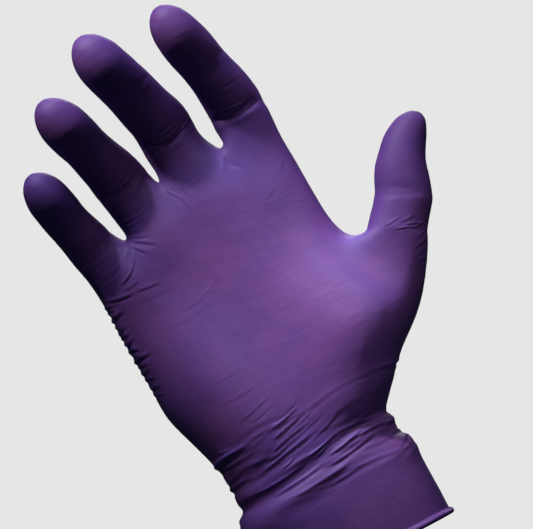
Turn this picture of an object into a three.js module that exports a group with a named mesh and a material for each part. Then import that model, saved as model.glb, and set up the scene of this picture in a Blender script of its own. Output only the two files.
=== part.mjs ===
// A disposable nitrile exam glove in the form it has on a right hand: one dipped film with
// five finger stalls, a palm, a gathered wrist and a rolled bead at the cuff's rim.
// Millimetres, +Z from the rim to the fingertips, palm facing -Y, thumb towards +X, and the
// origin at the middle of the cuff's opening.
import * as THREE from 'three';

// Driving dimensions
const WALL = 1.0; // film, thickened to what a solid can hold
const BEAD = 3.0; // diameter of the rolled rim
const CUFF_LENGTH = 50; // rim to wrist crease
const PALM_LENGTH = 120; // wrist crease to the webs of the middle finger
const PALM_WIDTH = 96;
const PALM_DEPTH = 30;
const CUFF_WIDTH = 78; // across the rim
const CUFF_DEPTH = 50;
const WRIST_WIDTH = 70.5;
const WRIST_DEPTH = 42;
const GATHER = 1.3; // height of the deepest wrist gather
const CREASE = 1.1; // depth of the finger creases on the palm side
const CREASE_WIDTH = 2.2; // middle of a crease to where it has faded
const KNUCKLE = 2.6; // height of the knuckles on the back
const WEB_DROP = 7; // how far a web's edges lie below its crotch
const WEB_THICKNESS = 10.4; // palm side to back side at a web
const LITTLE_LENGTH = 42.3; // finger lengths from the webs to the tips, as seen from the front
const RING_LENGTH = 60.4;
const MIDDLE_LENGTH = 67.1;
const INDEX_LENGTH = 62.7;
const THUMB_LENGTH = 65.3;
const LITTLE_WIDTH = 20;
const RING_WIDTH = 22.6;
const MIDDLE_WIDTH = 23.8;
const INDEX_WIDTH = 23;
const THUMB_WIDTH = 23.4;
const DOME = 1.55; // a fingertip's rounded end over its half width
const MESH_STEP = 5; // spacing of the rings along a finger

// Each finger: its thickness over its width, its lean from +Z towards the thumb in degrees,
// the middle of its root as shares of the palm's half width and length, how far the root stands
// towards the palm side as a share of the palm's depth, and, as shares of its own length, where
// its first ring and its creases lie, with each crease's depth as a share of CREASE. Rows are
// sections from root to fingertip: the place as a share of the length, the shift towards the
// thumb as a share of the half width, width and thickness as shares of the finger's own, and the
// bend towards the palm in degrees.
const FINGERS = [
  {
    name: 'little', length: LITTLE_LENGTH, width: LITTLE_WIDTH, thickness: 0.88, lean: -12.1,
    rootX: -0.798, rootZ: 0.892, forward: 0.033, first: 0.05, creases: [{ at: 0.05, deep: 0.8 }, { at: 0.42, deep: 0.5 }],
    rows: [
      { at: 0.0, side: -0.02, width: 1.02, depth: 1.0, bend: 9 },
      { at: 0.14, side: -0.05, width: 0.99, depth: 1.0, bend: 27 },
      { at: 0.28, side: -0.08, width: 0.935, depth: 0.98, bend: 32 },
      { at: 0.42, side: -0.13, width: 0.9, depth: 0.96, bend: 34 },
      { at: 0.56, side: -0.125, width: 0.905, depth: 0.97, bend: 39 },
      { at: 0.7, side: -0.125, width: 0.89, depth: 0.97, bend: 33 },
      { at: 1.0, side: -0.12, width: 0.85, depth: 0.74, bend: -8 },
    ],
  },
  {
    name: 'ring', length: RING_LENGTH, width: RING_WIDTH, thickness: 0.86, lean: -12.3,
    rootX: -0.34, rootZ: 0.942, forward: 0.033, first: 0.07, creases: [{ at: 0.25, deep: 0.9 }, { at: 0.595, deep: 0.5 }],
    rows: [
      { at: 0.0, side: 0.19, width: 1.06, depth: 1.0, bend: 6 },
      { at: 0.15, side: 0.2, width: 0.995, depth: 1.0, bend: 7 },
      { at: 0.3, side: 0.212, width: 0.982, depth: 1.0, bend: 28 },
      { at: 0.39, side: 0.2, width: 0.934, depth: 0.97, bend: 32 },
      { at: 0.49, side: 0.137, width: 0.88, depth: 0.95, bend: 33 },
      { at: 0.59, side: 0.088, width: 0.85, depth: 0.93, bend: 35 },
      { at: 0.69, side: 0.018, width: 0.876, depth: 0.97, bend: 40 },
      { at: 0.79, side: -0.03, width: 0.855, depth: 0.92, bend: 29 },
      { at: 1.0, side: -0.12, width: 0.83, depth: 0.72, bend: -10 },
    ],
  },
  {
    name: 'middle', length: MIDDLE_LENGTH, width: MIDDLE_WIDTH, thickness: 0.86, lean: -11.5,
    rootX: 0.192, rootZ: 1.017, forward: 0.033, first: 0.07, creases: [{ at: 0.21, deep: 1 }, { at: 0.557, deep: 0.5 }],
    rows: [
      { at: 0.0, side: 0.02, width: 1.06, depth: 1.0, bend: 3 },
      { at: 0.09, side: 0.06, width: 1.005, depth: 1.0, bend: 3 },
      { at: 0.18, side: 0.118, width: 1.0, depth: 1.0, bend: 7 },
      { at: 0.27, side: 0.205, width: 0.995, depth: 1.0, bend: 29 },
      { at: 0.35, side: 0.214, width: 0.962, depth: 0.98, bend: 32 },
      { at: 0.44, side: 0.15, width: 0.924, depth: 0.95, bend: 33 },
      { at: 0.55, side: 0.12, width: 0.893, depth: 0.93, bend: 35 },
      { at: 0.67, side: 0.046, width: 0.877, depth: 0.97, bend: 40 },
      { at: 0.78, side: -0.03, width: 0.85, depth: 0.92, bend: 29 },
      { at: 1.0, side: -0.1, width: 0.82, depth: 0.72, bend: -10 },
    ],
  },
  {
    name: 'index', length: INDEX_LENGTH, width: INDEX_WIDTH, thickness: 0.86, lean: -7.0,
    rootX: 0.775, rootZ: 1.017, forward: 0.033, first: 0.07, creases: [{ at: 0.17, deep: 1 }, { at: 0.525, deep: 0.5 }],
    rows: [
      { at: 0.0, side: 0.03, width: 1.02, depth: 1.0, bend: -1 },
      { at: 0.09, side: 0.07, width: 0.99, depth: 1.0, bend: -2 },
      { at: 0.19, side: 0.148, width: 0.99, depth: 1.0, bend: 10 },
      { at: 0.28, side: 0.178, width: 0.97, depth: 1.0, bend: 27 },
      { at: 0.38, side: 0.16, width: 0.917, depth: 0.97, bend: 25 },
      { at: 0.47, side: 0.117, width: 0.866, depth: 0.94, bend: 24 },
      { at: 0.57, side: 0.057, width: 0.857, depth: 0.94, bend: 30 },
      { at: 0.66, side: 0.013, width: 0.882, depth: 0.96, bend: 36 },
      { at: 0.78, side: -0.055, width: 0.84, depth: 0.92, bend: 26 },
      { at: 1.0, side: -0.13, width: 0.81, depth: 0.72, bend: -10 },
    ],
  },
];
const THUMB = {
  name: 'thumb', length: THUMB_LENGTH, width: THUMB_WIDTH, thickness: 0.9, lean: 36.1,
  rootX: 1.254, rootZ: 0.4, forward: 0.167, first: 0.23, creases: [{ at: 0.25, deep: 0.2 }, { at: 0.505, deep: 0.35 }],
  rows: [
    { at: 0.0, side: 0.0, width: 1.3, depth: 1.2, bend: 0 },
    { at: 0.18, side: 0.0, width: 1.2, depth: 1.1, bend: -2 },
    { at: 0.25, side: 0.15, width: 1.07, depth: 1.04, bend: -4 },
    { at: 0.34, side: 0.185, width: 1.0, depth: 1.0, bend: -6 },
    { at: 0.46, side: 0.24, width: 1.0, depth: 0.98, bend: -6 },
    { at: 0.55, side: 0.145, width: 0.99, depth: 0.96, bend: -7 },
    { at: 0.64, side: 0.038, width: 0.92, depth: 0.92, bend: -8 },
    { at: 0.73, side: -0.02, width: 0.8, depth: 0.84, bend: -8 },
    { at: 0.82, side: -0.01, width: 0.74, depth: 0.72, bend: -6 },
    { at: 0.9, side: 0.06, width: 0.71, depth: 0.66, bend: -4 },
    { at: 1.0, side: 0.2, width: 0.76, depth: 0.6, bend: -2 },
  ],
};

// Where the four fingers meet the palm, from the little finger's outer side over the three
// webs to the index finger's outer side, as shares of the palm's half width and length.
const ROOTS = [
  { x: -0.915, z: 0.84 },
  { x: -0.557, z: 0.9 },
  { x: -0.08, z: 1.014 },
  { x: 0.535, z: 1.01 },
  { x: 0.93, z: 0.965 },
];

// The palm's outline from wrist to finger roots: height as a share of the palm's length, how
// much of the row follows the wrist's sizes and not the palm's, the little finger's side and
// the index finger's side as shares of the half width, and the two half thicknesses as shares
// of the depth.
const PALM = [
  { at: 0.0, wrist: 1.0, ulnar: -1.0, radial: 1.0, back: 0.5, front: 0.5 },
  { at: 0.08, wrist: 0.9, ulnar: -1.0, radial: 1.21, back: 0.463, front: 0.5 },
  { at: 0.17, wrist: 0.6, ulnar: -0.985, radial: 1.344, back: 0.468, front: 0.53 },
  { at: 0.3, wrist: 0.25, ulnar: -0.99, radial: 1.62, back: 0.482, front: 0.56 },
  { at: 0.42, wrist: 0.0, ulnar: -0.94, radial: 1.38, back: 0.5, front: 0.58 },
  { at: 0.56, wrist: 0.0, ulnar: -0.955, radial: 1.12, back: 0.49, front: 0.54 },
  { at: 0.65, wrist: 0.0, ulnar: -0.96, radial: 1.055, back: 0.48, front: 0.52 },
  { at: 0.75, wrist: 0.0, ulnar: -0.96, radial: 1.03, back: 0.47, front: 0.5 },
  { at: 0.85, wrist: 0.0, ulnar: -1.005, radial: 1.025, back: 0.43, front: 0.44 },
  { at: 1.0, wrist: 0.0, ulnar: -1.03, radial: 1.02, back: 0.36, front: 0.36 },
];
// Heights of the palm's rows, as shares of the way from wrist to finger roots.
const PALM_ROWS = [
  0.075, 0.155, 0.235, 0.31, 0.378, 0.445, 0.512, 0.572, 0.66, 0.745, 0.83, 0.915, 1,
];
const THUMB_ROW = 3; // the first of PALM_ROWS at the thumb's opening

// Soft mounds and hollows of the palm side, in shares of the half width, of the palm's length
// and of the palm's depth.
const MOUNDS = [
  { name: 'ball of the thumb', x: 1.04, z: 0.25, wide: 0.58, tall: 0.32, high: 0.4 },
  { name: 'heel of the hand', x: -0.5, z: 0.3, wide: 0.36, tall: 0.26, high: 0.22 },
  { name: 'hollow', x: 0.06, z: 0.5, wide: 0.34, tall: 0.2, high: -0.03 },
  { name: 'pad under the little finger', x: -0.72, z: 0.78, wide: 0.2, tall: 0.09, high: 0.07 },
  { name: 'pad under the ring finger', x: -0.25, z: 0.86, wide: 0.2, tall: 0.09, high: 0.08 },
  { name: 'pad under the middle finger', x: 0.25, z: 0.89, wide: 0.2, tall: 0.09, high: 0.08 },
  { name: 'pad under the index finger', x: 0.74, z: 0.86, wide: 0.2, tall: 0.1, high: 0.08 },
];
const KNUCKLES = [
  { x: -0.7, z: 0.82 }, { x: -0.27, z: 0.9 }, { x: 0.22, z: 0.93 }, { x: 0.72, z: 0.9 },
];
const KNUCKLE_SIZE = 0.17; // share of the half width
const ROOT_DROP = 0.03; // from a finger's root down to the palm's last row, share of the length

// The cuff from rim to wrist: height, width and depth as shares of the way from rim to wrist.
const CUFF = [
  { at: 0.0, width: 0.0, depth: 0.0 },
  { at: 0.1, width: -0.02, depth: 0.0 },
  { at: 0.2, width: -0.05, depth: 0.02 },
  { at: 0.32, width: -0.05, depth: 0.08 },
  { at: 0.44, width: -0.05, depth: 0.18 },
  { at: 0.54, width: 0.0, depth: 0.3 },
  { at: 0.62, width: 0.04, depth: 0.42 },
  { at: 0.68, width: 0.1, depth: 0.52 },
  { at: 0.73, width: 0.3, depth: 0.66 },
  { at: 0.78, width: 0.95, depth: 0.84 },
  { at: 0.83, width: 1.02, depth: 0.94 },
  { at: 0.88, width: 0.96, depth: 0.94 },
  { at: 0.94, width: 1.03, depth: 1.0 },
  { at: 1.0, width: 1.0, depth: 1.0 },
];
// Gathers round the wrist: height as a share of the cuff's length, the turn round the wrist
// where each is deepest and how far it runs to either side in degrees, its rise over that run
// and its width as shares of the cuff's length, and its height as a share of GATHER. Turn 0 is
// the thumb's side and 270 the palm.
const GATHERS = [
  { at: 0.7, turn: 255, spread: 75, rise: 0.105, tall: 0.05, high: 1.0 },
  { at: 0.83, turn: 285, spread: 60, rise: 0.108, tall: 0.04, high: 0.8 },
  { at: 0.94, turn: 250, spread: 65, rise: 0.078, tall: 0.045, high: 0.9 },
  { at: 1.08, turn: 275, spread: 50, rise: 0.08, tall: 0.045, high: 0.7 },
  { at: 0.76, turn: 85, spread: 80, rise: -0.08, tall: 0.05, high: 0.9 },
  { at: 0.9, turn: 110, spread: 60, rise: 0.048, tall: 0.045, high: 0.8 },
  { at: 1.04, turn: 75, spread: 60, rise: -0.048, tall: 0.045, high: 0.7 },
  { at: 0.55, turn: 180, spread: 50, rise: 0.0, tall: 0.06, high: 0.7 },
  { at: 0.6, turn: 0, spread: 45, rise: 0.0, tall: 0.06, high: 0.7 },
];

// Mesh counts
const ACROSS = 4; // quads across a finger's palm side and its back
const DEEP = 4; // quads down each side of a finger
const RING = 2 * (ACROSS + DEEP);
const BAND = 8 * ACROSS + 2 * DEEP; // round the palm and the cuff
const BEAD_STEPS = 7;
const SQUARENESS = 2.5; // exponent of the palm's rounded section
const FAIR_ROUNDS = 8;
const FAIR_REACH = 1.7; // how far fairing reaches round the thumb's root, in thumb widths

const HALF = PALM_WIDTH / 2;
const WRIST = CUFF_LENGTH;
const WEBS = ROOTS.slice(1, 4);
const { clamp, degToRad, lerp, radToDeg, smoothstep } = THREE.MathUtils;

// Value of one column of a table at a given place, on a smooth curve through its rows.
function read(rows, column, at) {
  let i = rows.findIndex((row) => row.at > at);
  if (i < 0) i = rows.length - 1;
  i = Math.max(1, i);
  const a = rows[Math.max(0, i - 2)];
  const b = rows[i - 1];
  const c = rows[i];
  const d = rows[Math.min(rows.length - 1, i + 1)];
  const span = c.at - b.at;
  const t = clamp((at - b.at) / span, 0, 1);
  const m0 = c === a ? 0 : ((c[column] - a[column]) / (c.at - a.at)) * span;
  const m1 = d === b ? 0 : ((d[column] - b[column]) / (d.at - b.at)) * span;
  const t2 = t * t;
  const t3 = t2 * t;
  return (2 * t3 - 3 * t2 + 1) * b[column] + (t3 - 2 * t2 + t) * m0
    + (3 * t2 - 2 * t3) * c[column] + (t3 - t2) * m1;
}

const bell = (distance) => Math.exp(-distance * distance);

// The net: points of the outer surface and its quads, all turned outwards.
const points = [];
const quads = [];

function addPoint(point) {
  points.push(point);
  return points.length - 1;
}

// Joins two closed rings of point numbers; a skipped column is left open.
function band(lower, upper, skipped = []) {
  const count = lower.length;
  for (let c = 0; c < count; c += 1) {
    if (skipped.includes(c)) continue;
    const next = (c + 1) % count;
    quads.push([lower[c], upper[c], upper[next], lower[next]]);
  }
}

// One point of a rounded section: x between the two edges, y by the superellipse.
function sectionDepth(share, back, front, dorsal) {
  const rest = Math.max(0, 1 - Math.abs(share) ** SQUARENESS) ** (1 / SQUARENESS);
  return dorsal ? back * rest : -front * rest;
}

// Shares, -1 to 1 across, of equal steps along half of a rounded section.
function equalSteps(halfWidth, depth, steps) {
  const fine = 400;
  const path = [];
  let length = 0;
  for (let i = 0; i <= fine; i += 1) {
    const share = -Math.cos((Math.PI * i) / fine);
    const x = share * halfWidth;
    const y = sectionDepth(share, depth, depth, true);
    if (i > 0) length += Math.hypot(x - path[i - 1].x, y - path[i - 1].y);
    path.push({ x, y, share, length });
  }
  const shares = [];
  for (let k = 0; k <= steps; k += 1) {
    const goal = (length * k) / steps;
    const i = Math.max(1, path.findIndex((p) => p.length >= goal - 1e-9));
    const a = path[i - 1];
    const b = path[i];
    shares.push(a.share + ((b.share - a.share) * (goal - a.length)) / (b.length - a.length));
  }
  return shares;
}

// Column of the band to its half and step: columns run from the little finger's side over the
// back to the thumb's side, and return over the palm.
function columnPlace(c) {
  const half = BAND / 2;
  const lead = DEEP / 2;
  const k = (c + lead) % BAND;
  return k <= half ? { dorsal: true, step: k } : { dorsal: false, step: BAND - k };
}

// The height of the finger roots over a column, and its place across the palm there, both as
// shares. A web's two edges lie lower than its crotch.
function rootLine(c) {
  const { step } = columnPlace(c);
  const k = clamp(step - DEEP / 2, 0, 4 * ACROSS);
  const i = Math.min(3, Math.floor(k / ACROSS));
  const t = (k - i * ACROSS) / ACROSS;
  const [from, to] = [i, i + 1].map((j) => {
    const inner = j > 0 && j < 4;
    return { x: ROOTS[j].x, z: ROOTS[j].z - (inner ? WEB_DROP / PALM_LENGTH : 0) };
  });
  const middle = FINGERS[i].rootZ - ROOT_DROP;
  return {
    x: lerp(from.x, to.x, t),
    z: lerp(from.z, to.z, t) + (middle - (from.z + to.z) / 2) * 4 * t * (1 - t),
    side: step < DEEP / 2 || step > 4 * ACROSS + DEEP / 2,
  };
}

// The palm's outline in millimetres.
const outline = PALM.map((row) => {
  const half = lerp(PALM_WIDTH, WRIST_WIDTH, row.wrist) / 2;
  const depth = lerp(PALM_DEPTH, WRIST_DEPTH, row.wrist);
  return {
    at: row.at,
    ulnar: row.ulnar * half,
    radial: row.radial * half,
    back: row.back * depth,
    front: row.front * depth,
  };
});

function mound(x, z) {
  return MOUNDS.reduce((sum, m) => {
    const across = (x / HALF - m.x) / m.wide;
    const up = ((z - WRIST) / PALM_LENGTH - m.z) / m.tall;
    return sum + m.high * PALM_DEPTH * bell(Math.hypot(across, up));
  }, 0);
}

function knuckle(x, z) {
  return KNUCKLES.reduce((sum, k) => {
    const across = x - k.x * HALF;
    const up = z - WRIST - k.z * PALM_LENGTH;
    return sum + KNUCKLE * bell(Math.hypot(across, up) / (KNUCKLE_SIZE * HALF));
  }, 0);
}

function gather(x, y, z) {
  const turn = (radToDeg(Math.atan2(y, x)) + 360) % 360;
  return GATHERS.reduce((sum, g) => {
    const away = ((turn - g.turn + 540) % 360) - 180;
    const up = (z / CUFF_LENGTH - g.at - (g.rise * away) / g.spread) / g.tall;
    return sum + GATHER * g.high * bell(away / g.spread) * bell(up);
  }, 0);
}

// A point of the cuff, from its height and column, before its gathers.
function cuffPoint(z, c) {
  const at = clamp(z / CUFF_LENGTH, 0, 1);
  const mixed = (from, to, column) => from + (to - from) * read(CUFF, column, at);
  const halfWidth = mixed(CUFF_WIDTH, WRIST_WIDTH, 'width') / 2;
  const halfDepth = mixed(CUFF_DEPTH, WRIST_DEPTH, 'depth') / 2;
  const { dorsal, step } = columnPlace(c);
  const share = equalSteps(halfWidth, halfDepth, BAND / 2)[step];
  return new THREE.Vector3(share * halfWidth, sectionDepth(share, halfDepth, halfDepth, dorsal), z);
}

// A point of the palm, from the share of the way up and the column.
function palmPoint(rise, c) {
  const root = rootLine(c);
  const at = rise * root.z;
  const ulnar = read(outline, 'ulnar', rise * ROOTS[0].z);
  const radial = read(outline, 'radial', rise * ROOTS[4].z);
  const back = read(outline, 'back', at);
  const front = read(outline, 'front', at);
  const halfWidth = (radial - ulnar) / 2;
  const middle = (radial + ulnar) / 2;
  const { dorsal, step } = columnPlace(c);
  let share = equalSteps(halfWidth, (back + front) / 2, BAND / 2)[step];
  if (!root.side) {
    const goal = (root.x * HALF - middle) / halfWidth;
    share = lerp(share, goal, smoothstep(rise, 0.45, 1));
  }
  const point = new THREE.Vector3(
    middle + share * halfWidth,
    sectionDepth(share, back, front, dorsal),
    WRIST + at * PALM_LENGTH,
  );
  const inside = Math.sqrt(Math.max(0, 1 - share * share));
  point.y += dorsal ? knuckle(point.x, point.z) * inside : -mound(point.x, point.z) * inside;
  return point;
}

// Length of a stall's rounded end.
function domeOf(finger) {
  return DOME * (finger.width / 2) * finger.rows[finger.rows.length - 1].width;
}

// A stall's surface: along in millimetres from the root, turn in degrees from its thumb side
// towards its back. A slanted ring is moved along by shift, and keeps the crease of its middle.
function stallPoint(finger, station, turn, shift = 0) {
  const along = station + shift;
  const half = finger.width / 2;
  const dome = domeOf(finger);
  const share = Math.min(along / finger.length, 1);
  const lean = degToRad(finger.lean);
  const bend = degToRad(read(finger.rows, 'bend', share));
  const up = new THREE.Vector3(Math.sin(lean), 0, Math.cos(lean));
  const side = new THREE.Vector3(Math.cos(lean), 0, -Math.sin(lean));
  const out = new THREE.Vector3(0, Math.cos(bend), 0).addScaledVector(up, Math.sin(bend));
  const into = Math.max(0, along - (finger.length - dome)) / dome;
  const taper = Math.sqrt(Math.max(0, 1 - into * into));
  const steps = 24;
  let curl = -finger.forward * PALM_DEPTH;
  for (let i = 0; i < steps; i += 1) {
    const here = (share * (i + 0.5)) / steps;
    curl -= (Math.tan(degToRad(read(finger.rows, 'bend', here))) * share * finger.length) / steps;
  }
  const across = Math.cos(degToRad(turn));
  const deep = Math.sin(degToRad(turn));
  const width = half * read(finger.rows, 'width', share) * taper;
  let depth = half * finger.thickness * read(finger.rows, 'depth', share) * taper;
  finger.creases.forEach((crease) => {
    const away = (station - crease.at * finger.length) / CREASE_WIDTH;
    if (deep < 0) depth -= CREASE * crease.deep * bell(away) * -deep;
  });
  return new THREE.Vector3(finger.rootX * HALF, curl, WRIST + finger.rootZ * PALM_LENGTH)
    .addScaledVector(up, along)
    .addScaledVector(side, half * read(finger.rows, 'side', share) + width * across)
    .addScaledVector(out, depth * deep);
}

const ringTurn = (i) => 135 - (360 / RING) * i;

// Rings up a stall from its base ring of point numbers, then a domed patch over its end.
function stall(finger, base, slant) {
  const half = finger.width / 2;
  const first = finger.first * finger.length;
  const dome = domeOf(finger);
  const start = finger.length - dome;
  const creases = finger.creases.map((crease) => crease.at * finger.length);
  const stations = [];
  const ledge = 1.4 * CREASE_WIDTH;
  const goals = [first, ...creases.flatMap((c) => [c - ledge, c, c + ledge]), start]
    .filter((goal) => goal >= first);
  goals.forEach((goal, i) => {
    if (i === 0) stations.push(goal);
    const from = stations[stations.length - 1];
    const pieces = Math.max(1, Math.round((goal - from) / MESH_STEP));
    for (let k = 1; k <= pieces && goal > from + MESH_STEP / 10; k += 1) {
      stations.push(from + ((goal - from) * k) / pieces);
    }
  });
  [0.3, 0.58, 0.8].forEach((into) => stations.push(start + dome * into));
  let lower = base;
  stations.forEach((along) => {
    const fade = Math.max(0, 1 - (along - first) / (0.2 * finger.length));
    const upper = Array.from({ length: RING }, (_, i) => {
      const turn = ringTurn(i);
      const shift = slant * fade * half * Math.cos(degToRad(turn));
      return addPoint(stallPoint(finger, along, turn, shift));
    });
    band(lower, upper);
    lower = upper;
  });
  closeEnd(finger, lower, dome, start);
}

function closeEnd(finger, rim, dome, start) {
  const grid = [];
  for (let u = 0; u <= ACROSS; u += 1) {
    grid.push([]);
    for (let v = 0; v <= DEEP; v += 1) {
      if (v === 0) grid[u].push(rim[u]);
      else if (u === ACROSS) grid[u].push(rim[ACROSS + v]);
      else if (v === DEEP) grid[u].push(rim[2 * ACROSS + DEEP - u]);
      else if (u === 0) grid[u].push(rim[RING - v]);
      else grid[u].push(addPoint(endPoint(finger, u, v, dome, start)));
    }
  }
  for (let u = 0; u < ACROSS; u += 1) {
    for (let v = 0; v < DEEP; v += 1) {
      quads.push([grid[u][v], grid[u][v + 1], grid[u + 1][v + 1], grid[u + 1][v]]);
    }
  }
}

// A point inside the end patch, by a map of the square onto a disc.
function endPoint(finger, u, v, dome, start) {
  const p = (2 * u) / ACROSS - 1;
  const q = 1 - (2 * v) / DEEP;
  const reach = Math.max(Math.abs(p), Math.abs(q)) * 0.6;
  let turn = 0;
  if (reach > 0) {
    turn = Math.abs(p) >= Math.abs(q)
      ? 45 * (q / p) + (p < 0 ? 180 : 0)
      : 90 - 45 * (p / q) + (q < 0 ? 180 : 0);
  }
  return stallPoint(finger, start + dome * Math.sqrt(1 - reach * reach), turn);
}

// The cuff and the palm, row by row.
const bands = [];
const cuffRows = CUFF.slice(1).map((row) => row.at * CUFF_LENGTH);
cuffRows.forEach((z) => {
  bands.push(Array.from({ length: BAND }, (_, c) => addPoint(cuffPoint(z, c))));
});
const wristBand = bands.length - 1;
PALM_ROWS.forEach((rise) => {
  bands.push(Array.from({ length: BAND }, (_, c) => addPoint(palmPoint(rise, c))));
});
const thumbBand = wristBand + 1 + THUMB_ROW;
const thumbSide = Array.from({ length: DEEP }, (_, i) => 4 * ACROSS + i);
for (let j = 0; j + 1 < bands.length; j += 1) {
  const open = j >= thumbBand && j < thumbBand + ACROSS;
  band(bands[j], bands[j + 1], open ? thumbSide : []);
}

// The webs: a chain of points from back to palm over each crotch.
const top = bands[bands.length - 1];
const webChains = WEBS.map((web, i) => {
  const back = top[(i + 1) * ACROSS];
  const front = top[BAND - DEEP - (i + 1) * ACROSS];
  const chain = [back];
  for (let k = 1; k < DEEP; k += 1) {
    const turn = (Math.PI * k) / DEEP;
    chain.push(addPoint(new THREE.Vector3(
      web.x * HALF,
      (WEB_THICKNESS / 2) * Math.cos(turn) - FINGERS[i].forward * PALM_DEPTH,
      WRIST + web.z * PALM_LENGTH - WEB_DROP * 0.75 * (1 - Math.sin(turn)),
    )));
  }
  chain.push(front);
  return chain;
});
const crotches = new Set(webChains.map((chain) => chain[DEEP / 2]));
const outerChain = (from) => Array.from({ length: DEEP + 1 }, (_, i) => top[(from + i) % BAND]);
const chains = [null, ...webChains, outerChain(4 * ACROSS)];
const littleChain = outerChain(BAND - DEEP).reverse();
FINGERS.forEach((finger, i) => {
  const dorsal = Array.from({ length: ACROSS }, (_, k) => top[i * ACROSS + k]);
  const radial = chains[i + 1].slice(0, DEEP);
  const palmar = Array.from({ length: ACROSS }, (_, k) => top[BAND - DEEP - (i + 1) * ACROSS + k]);
  const ulnar = (i === 0 ? littleChain : chains[i]).slice(1).reverse();
  const slant = ((ROOTS[i + 1].z - ROOTS[i].z) * PALM_LENGTH) / finger.width;
  const outerMost = i === 0 || i === FINGERS.length - 1;
  stall(finger, [...dorsal, ...radial, ...palmar, ...ulnar], outerMost ? slant / 2 : slant);
});

// The thumb leaves the palm's side through the open columns.
const rowsUp = Array.from({ length: ACROSS + 1 }, (_, k) => bands[thumbBand + k]);
const thumbBase = [
  ...Array.from({ length: ACROSS }, (_, k) => rowsUp[ACROSS - k][4 * ACROSS]),
  ...Array.from({ length: DEEP }, (_, k) => rowsUp[0][4 * ACROSS + k]),
  ...Array.from({ length: ACROSS }, (_, k) => rowsUp[k][4 * ACROSS + DEEP]),
  ...Array.from({ length: DEEP }, (_, k) => rowsUp[ACROSS][4 * ACROSS + DEEP - k]),
];
stall(THUMB, thumbBase, 0);

// Fairs the net where the stalls leave the palm. Each round draws the points together and then
// lets them out again, so nothing shrinks, and the tops of the webs stay where they are.
function fair(rounds, weightOf) {
  const near = points.map(() => new Set());
  quads.forEach((quad) => quad.forEach((a, i) => {
    near[a].add(quad[(i + 1) % 4]);
    near[a].add(quad[(i + 3) % 4]);
  }));
  const held = (i) => near[i].size < 3 || crotches.has(i);
  const weights = points.map((point, i) => (held(i) ? 0 : weightOf(point)));
  for (let round = 0; round < rounds; round += 1) {
    [0.6, -0.63].forEach((pull) => {
      const moved = points.map((point, i) => {
        if (weights[i] <= 0) return point;
        const mean = new THREE.Vector3();
        near[i].forEach((k) => mean.add(points[k]));
        mean.divideScalar(near[i].size);
        return point.clone().lerp(mean, pull * weights[i]);
      });
      moved.forEach((point, i) => { points[i] = point; });
    });
  }
}
const rootMiddles = Array.from({ length: BAND / 2 + 1 }, (_, c) => {
  const root = rootLine(c);
  return { x: root.x * HALF, z: WRIST + root.z * PALM_LENGTH };
});
const thumbRoot = new THREE.Vector3(THUMB.rootX * HALF, 0, WRIST + THUMB.rootZ * PALM_LENGTH);
fair(FAIR_ROUNDS, (p) => {
  const fingers = Math.min(...rootMiddles.map((m) => Math.hypot(p.x - m.x, p.z - m.z)));
  const thumb = p.distanceTo(thumbRoot) / THUMB_WIDTH;
  return Math.max(bell(fingers / (MIDDLE_WIDTH / 2)), clamp(FAIR_REACH - thumb, 0, 1));
});

// Normals of the net, then the gathers along them.
function netNormals() {
  const normals = points.map(() => new THREE.Vector3());
  quads.forEach(([a, b, c, d]) => {
    const across = points[c].clone().sub(points[a]);
    const up = points[d].clone().sub(points[b]);
    const normal = across.cross(up);
    [a, b, c, d].forEach((i) => normals[i].add(normal));
  });
  return normals.map((normal) => normal.normalize());
}
netNormals().forEach((normal, i) => {
  const p = points[i];
  if (p.z < 1.4 * CUFF_LENGTH) p.addScaledVector(normal, gather(p.x, p.y, p.z));
});

// The inner face is the outer face moved in by the wall; the bead joins the two at the rim.
const normals = netNormals();
const inner = points.map((point, i) => point.clone().addScaledVector(normals[i], -WALL));
const vertices = [...points, ...inner];
const faces = [...quads, ...quads.map((quad) => quad.map((i) => i + points.length).reverse())];

let lower = bands[0];
for (let k = 0; k < BEAD_STEPS; k += 1) {
  const turn = degToRad(60 - (300 * k) / (BEAD_STEPS - 1));
  const ring = Array.from({ length: BAND }, (_, c) => {
    const rim = cuffPoint(0, c);
    const out = new THREE.Vector3(rim.x / CUFF_WIDTH ** 2, rim.y / CUFF_DEPTH ** 2, 0).normalize();
    rim.addScaledVector(out, (BEAD / 2) * Math.cos(turn));
    rim.z = BEAD / 2 + (BEAD / 2) * Math.sin(turn);
    vertices.push(rim);
    return vertices.length - 1;
  });
  for (let c = 0; c < BAND; c += 1) {
    const next = (c + 1) % BAND;
    faces.push([lower[c], lower[next], ring[next], ring[c]]);
  }
  lower = ring;
}
const innerRim = bands[0].map((i) => i + points.length);
for (let c = 0; c < BAND; c += 1) {
  const next = (c + 1) % BAND;
  faces.push([lower[c], lower[next], innerRim[next], innerRim[c]]);
}

const geometry = new THREE.BufferGeometry();
geometry.setAttribute('position', new THREE.Float32BufferAttribute(
  vertices.flatMap((v) => [v.x, v.y, v.z]), 3,
));
geometry.setIndex(faces.flatMap(([a, b, c, d]) => [a, b, c, a, c, d]));
geometry.computeVertexNormals();

const film = new THREE.MeshStandardMaterial({ color: 0x4f2a86, roughness: 0.5, metalness: 0 });
const glove = new THREE.Mesh(geometry, film);
glove.name = 'glove';

const group = new THREE.Group();
group.add(glove);

export default group;
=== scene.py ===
"""Looks of the worn nitrile exam glove: a thin satin film with its folds, and a plain studio."""
import math

import bmesh
import bpy
import numpy as np
from mathutils import Matrix, Vector


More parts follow.
